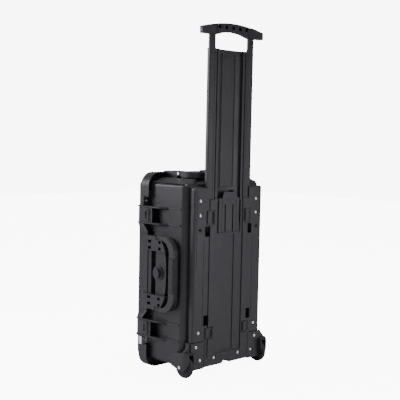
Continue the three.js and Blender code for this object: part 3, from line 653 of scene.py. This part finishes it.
def dress_latch_levers():
    """A raised bead and two grooves across each latch's lever."""
    for row, middle in zip(("upper", "lower"), latch_heights()):
        node = f"latch_{row}_lever"
        span = (middle - LATCH_HALF, middle + LATCH_HALF)
        obj = join(cad_copy(node), lambda work: block(work, (169.5, 173), (-44.6, -42), span))
        cut(obj, lambda work: block(work, (170, LATCH_OUT), (-41.5, -39.5), span),
            lambda work: block(work, (168.8, LATCH_OUT), (-36.4, -35.2), span))
        finished(obj, "nylon", BODY_OF[node], [node], 0.6)


# ---------------------------------------------------------------- carry handles
HANDLE_GRIPS = (("front_handle_grip", "front_handle", "z"), ("top_handle_grip", "top_handle", "x"))
GRIP_ROUNDING = 8
GRIP_STEPS = 6  # in each rounded corner


def dress_handle_grips():
    """The soft sleeves of the two carry handles, rounder than their CAD nodes."""
    for node, body, axis in HANDLE_GRIPS:
        (x0, y0, z0), (x1, y1, z1) = ([c / MM for c in corner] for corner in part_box(node))
        if axis == "z":
            outline, run = rounded((x0, x1), (y0, y1), GRIP_ROUNDING, GRIP_STEPS), (z0 - 1, z1 + 1)
        else:
            outline, run = rounded((y0, y1), (z0, z1), GRIP_ROUNDING, GRIP_STEPS), (x0 - 1, x1 + 1)
        obj = keep(cad_copy(node), lambda work: prism(work, outline, axis, *run))
        finished(obj, SLOT_OF[node], body, [node], 0.5)


# ---------------------------------------------------------------- screws
SCREW = "_screw_"  # in the name of every screw node
SHANK_RADIUS = 1.9
HEAD_HEIGHT = 2.2
CROSS_LONG, CROSS_WIDE = 2.6, 0.5  # half the length and half the width of the recess
CROSS_DEEP = 1.1


def screw_profile(top):
    """A pan-head screw along Y, with the top of its head at this y."""
    return [[0, top - 24], [SHANK_RADIUS, top - 23.6], [SHANK_RADIUS, top - HEAD_HEIGHT],
            [4.7, top - HEAD_HEIGHT], [4.8, top - 1.6], [4.3, top - 0.7], [3.1, top - 0.15], [1.6, top],
            [0, top]]


def dress_screws():
    """Pan-head screws with a cross recess, one for each screw node."""
    for node in NODES:
        if SCREW not in node:
            continue
        low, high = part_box(node)
        x, z = (low[0] + high[0]) / 2 / MM, (low[2] + high[2]) / 2 / MM
        top = high[1] / MM
        work = bmesh.new()
        lathe(work, screw_profile(top), "y", (x, z))
        obj = new_object(node + "_part", work)
        deep = (top - CROSS_DEEP, top + 1)
        for wide, tall in ((CROSS_LONG, CROSS_WIDE), (CROSS_WIDE, CROSS_LONG)):
            cut(obj, lambda work: block(work, (x - wide, x + wide), deep, (z - tall, z + tall)))
        finished(obj, "steel", "base", [node], 0.12)


# ---------------------------------------------------------------- base shell
TOP_WALL = 536  # how high the top wall's outside is
SHOULDER_RISE = 9.5  # how far a shoulder stands above it
FIN_HALF = 23  # from a latch's middle to the fin on each side of it


def base_shoulder(work, side):
    """The top wall rises from each end towards the top handle's mount."""
    root, crest = TOP_WALL - 3, TOP_WALL + SHOULDER_RISE
    outline = [(side * 147, root), (side * 112, crest), (side * 98.5, crest), (side * 98.5, root)]
    prism(work, outline, "y", -52, 73)


def fin_heights():
    return [middle + step for middle in latch_heights() for step in (-FIN_HALF, FIN_HALF)]


def fin_ribs(work):
    """Each fin beside a latch runs on to the back corner as a low rib."""
    for z in fin_heights():
        block(work, (146, 151), (18, 66), (z - 2, z + 2))


def fin_slots(work):
    """A shallow slot under each fin."""
    for z in fin_heights():
        block(work, (145.2, 153), (-20, 16), (z - 6, z - 2.05))


def dress_base():
    obj = join(cad_copy("base_shell"), both(base_shoulder), fin_ribs)
    cut(obj, fin_slots)
    finished(obj, "case_resin", "base", ["base_shell"], EDGE_WIDTHS["base_shell"])


# ---------------------------------------------------------------- everything else
OWN_MESH = ("base_shell", "trolley_panel", "trolley_slide", "trolley_grip", "release_lever",
            "front_handle_grip", "top_handle_grip", "latch_upper_lever", "latch_lower_lever")
NOT_COPIED = ("spring", "seal", SCREW)  # in the names of nodes that stay as they are or have their own mesh


def dress_cad_nodes():
    """Every CAD node gets its material, and copies with rounded edges replace the plain ones."""
    for node, obj in NODES.items():
        obj.data.materials.clear()
        obj.data.materials.append(MATERIALS[SLOT_OF[node]])
        if node in OWN_MESH or any(word in node for word in NOT_COPIED):
            continue
        edge = EDGE_WIDTHS.get(node, EDGE_WIDTH)
        finished(cad_copy(node), SLOT_OF[node], BODY_OF[node], [node], edge)


set_camera()
set_studio()
make_floor()
dress_cad_nodes()
dress_base()
dress_panel()
make_clips()
dress_lever()
dress_slide()
dress_grip()
dress_handle_grips()
dress_latch_levers()
dress_screws()
